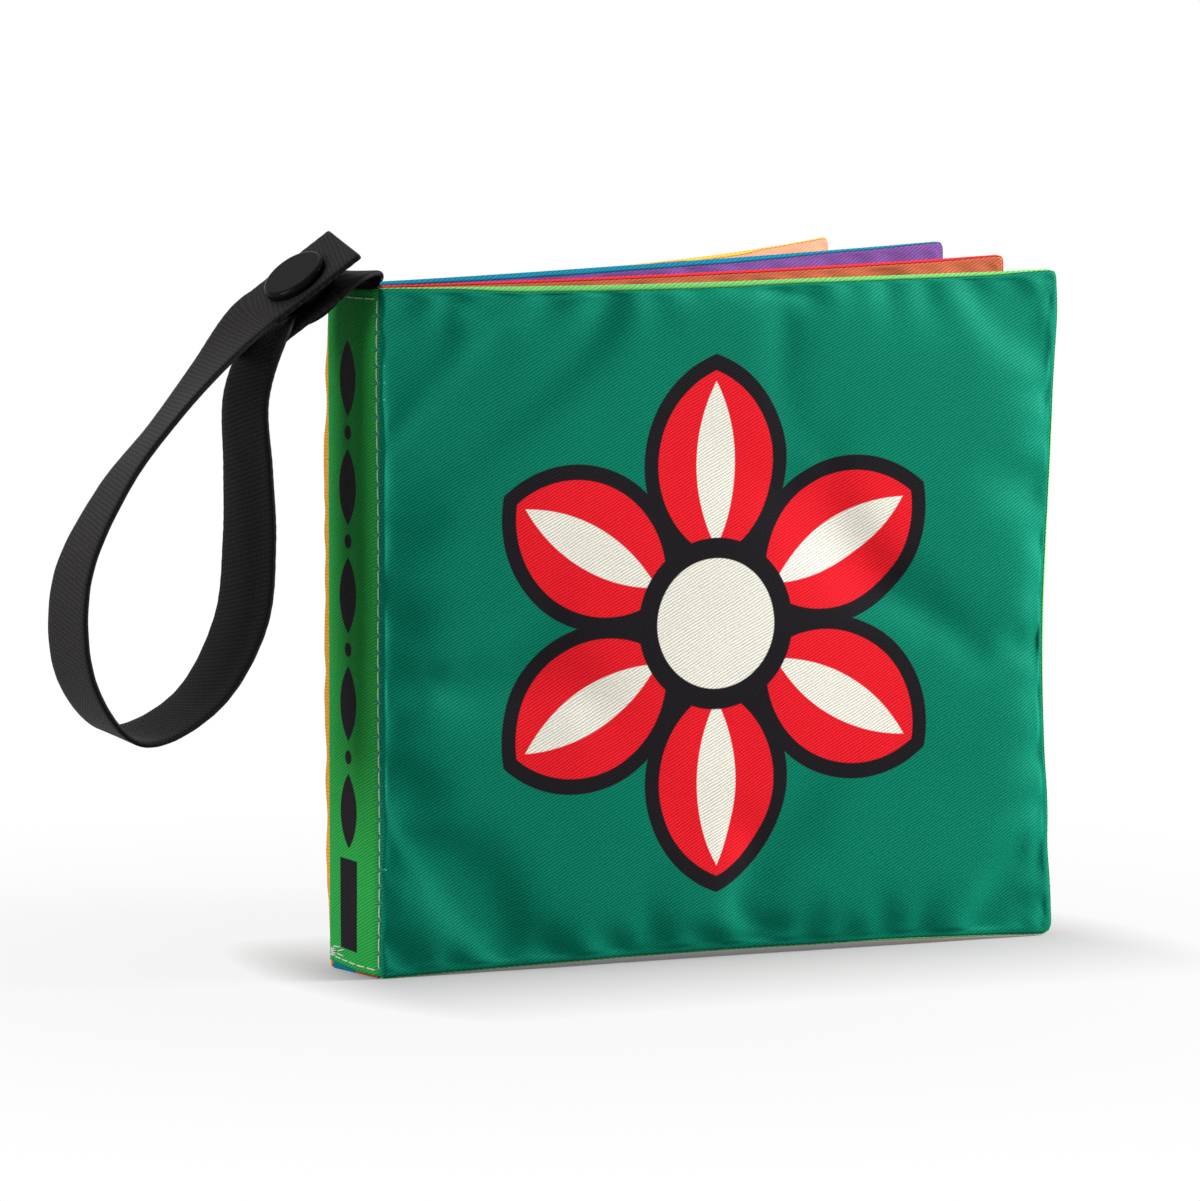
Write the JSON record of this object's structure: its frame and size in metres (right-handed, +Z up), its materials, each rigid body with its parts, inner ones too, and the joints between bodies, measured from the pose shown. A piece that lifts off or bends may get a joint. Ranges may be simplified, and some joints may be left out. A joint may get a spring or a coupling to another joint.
{
  "type": "cloth stroller book",
  "caption": "Soft cloth picture book with padded covers and leaves, a printed rosette, a cloth spine and a black webbing loop closed by a round snap.",
  "frame": {"origin": "on the floor at the foot of the spine, on the flat foot of the fold between the two hinge lines", "axes": "+X from the spine out to the fore edges of the leaves, +Y from the front cover to the back cover, +Z up"},
  "size_m": [0.1997, 0.0726, 0.137],
  "materials": {
    "green_cloth": "printed twill, soft sheen",
    "lime_cloth": "printed twill",
    "black_print": "black print on twill",
    "red_print": "red print on twill",
    "cream_print": "unprinted cream twill",
    "spine_cloth": "printed twill",
    "page_cloth": "printed twill in four colours, one to each side of a leaf",
    "peach_cloth": "printed twill",
    "mustard_cloth": "printed twill",
    "webbing": "ribbed woven webbing",
    "snap_plastic": "satin gloss moulded plastic"
  },
  "bodies": {
    "spine": {"spine_strip": "spine_cloth", "spine_print": "black_print", "pages": "page_cloth", "strap": "webbing", "snap_cap": "snap_plastic", "snap_socket": "snap_plastic", "snap_stud": "snap_plastic", "snap_back_cap": "snap_plastic"},
    "front_cover": {"front_cover_face": "green_cloth", "front_cover_lining": "lime_cloth", "front_print_black": "black_print", "front_print_red": "red_print", "front_print_cream": "cream_print"},
    "back_cover": {"back_cover_lining": "peach_cloth", "back_cover_face": "mustard_cloth"}
  },
  "joints": [
    {"name": "front_cover_hinge", "type": "hinge", "parent": "spine", "child": "front_cover", "pos_m": [0, -0.0091, 0], "axis": [0, 0, -1], "range_deg": [-3, 150]},
    {"name": "back_cover_hinge", "type": "hinge", "parent": "spine", "child": "back_cover", "pos_m": [0, 0.0091, 0], "axis": [0, 0, 1], "range_deg": [-9, 150]}
  ]
}
